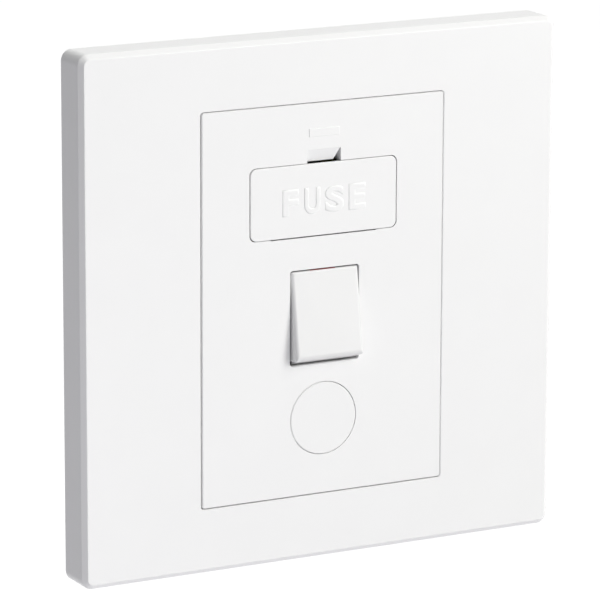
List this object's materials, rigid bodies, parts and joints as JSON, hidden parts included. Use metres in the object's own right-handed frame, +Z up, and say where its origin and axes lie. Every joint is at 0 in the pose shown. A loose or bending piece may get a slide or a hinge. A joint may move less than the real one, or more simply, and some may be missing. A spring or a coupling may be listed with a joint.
{
  "type": "switched fused connection unit",
  "caption": "Square white wall unit with a hinged fuse carrier, a double-pole rocker switch and a blanked cord outlet.",
  "frame": {"origin": "centre of the two wall fixings, on the wall plane", "axes": "+X to the user's right, +Y into the wall, +Z up"},
  "size_m": [0.086, 0.0281, 0.086],
  "materials": {
    "front_moulding": "smooth white urea moulding",
    "base_moulding": "off-white moulding",
    "flag_moulding": "red moulding",
    "actuator_moulding": "natural nylon",
    "brass_strip": "pressed brass strip",
    "brass_block": "machined brass",
    "silver_contact": "silver alloy",
    "plated_cap": "nickel plate",
    "plated_screw": "zinc plated steel",
    "spring_wire": "drawn steel wire",
    "fuse_ceramic": "glazed ceramic"
  },
  "bodies": {
    "unit": {"cover_frame": "front_moulding", "front_insert": "front_moulding", "support_plate": "base_moulding", "rear_housing": "base_moulding", "housing_screws": "plated_screw", "outlet_blank": "front_moulding", "cord_clamp": "base_moulding", "cord_clamp_screws": "plated_screw", "live_link": "brass_strip", "neutral_link": "brass_strip", "load_live_clip": "brass_strip", "live_fixed_contact": "silver_contact", "neutral_fixed_contact": "silver_contact", "live_cradle": "brass_strip", "neutral_cradle": "brass_strip", "supply_live_terminal": "brass_block", "supply_neutral_terminal": "brass_block", "load_live_terminal": "brass_block", "load_neutral_terminal": "brass_block", "earth_terminal": "brass_block", "terminal_screws": "plated_screw"},
    "carrier": {"fuse_carrier": "front_moulding", "fuse_tube": "fuse_ceramic", "fuse_end_caps": "plated_cap"},
    "switch_rocker": {"rocker": "front_moulding", "rocker_flag": "flag_moulding", "live_plunger_spring": "spring_wire", "neutral_plunger_spring": "spring_wire"},
    "live_actuator": {"live_plunger": "actuator_moulding"},
    "neutral_actuator": {"neutral_plunger": "actuator_moulding"},
    "live_see_saw": {"live_lever": "brass_strip", "live_moving_contact": "silver_contact"},
    "neutral_see_saw": {"neutral_lever": "brass_strip", "neutral_moving_contact": "silver_contact"}
  },
  "joints": [
    {"name": "carrier_hinge", "type": "hinge", "parent": "unit", "child": "carrier", "pos_m": [0, -0.0056, 0.01315], "axis": [1, 0, 0], "range_deg": [0, 90]},
    {"name": "rocker_pivot", "type": "hinge", "parent": "unit", "child": "switch_rocker", "pos_m": [0, -0.0047, -0.00267], "axis": [1, 0, 0], "range_deg": [0, 17]},
    {"name": "live_plunger_slide", "type": "slide", "parent": "switch_rocker", "child": "live_actuator", "axis": [0, -0.989, 0.1478], "range_m": [0, 0.0008], "stiffness_N_per_m": 250, "springref_m": -0.001, "deforming": ["live_plunger_spring"]},
    {"name": "neutral_plunger_slide", "type": "slide", "parent": "switch_rocker", "child": "neutral_actuator", "axis": [0, -0.989, 0.1478], "range_m": [0, 0.0008], "stiffness_N_per_m": 250, "springref_m": -0.001, "deforming": ["neutral_plunger_spring"]},
    {"name": "live_lever_pivot", "type": "hinge", "parent": "unit", "child": "live_see_saw", "pos_m": [-0.0026, 0.0062, -0.00267], "axis": [1, 0, 0], "range_deg": [-18.1, 0]},
    {"name": "neutral_lever_pivot", "type": "hinge", "parent": "unit", "child": "neutral_see_saw", "pos_m": [0.0026, 0.0062, -0.00267], "axis": [1, 0, 0], "range_deg": [-18.1, 0]}
  ],
  "couplings": [
    {"joint": "live_lever_pivot", "follows": "rocker_pivot", "ratio": -1.0588},
    {"joint": "neutral_lever_pivot", "follows": "rocker_pivot", "ratio": -1.0588}
  ]
}
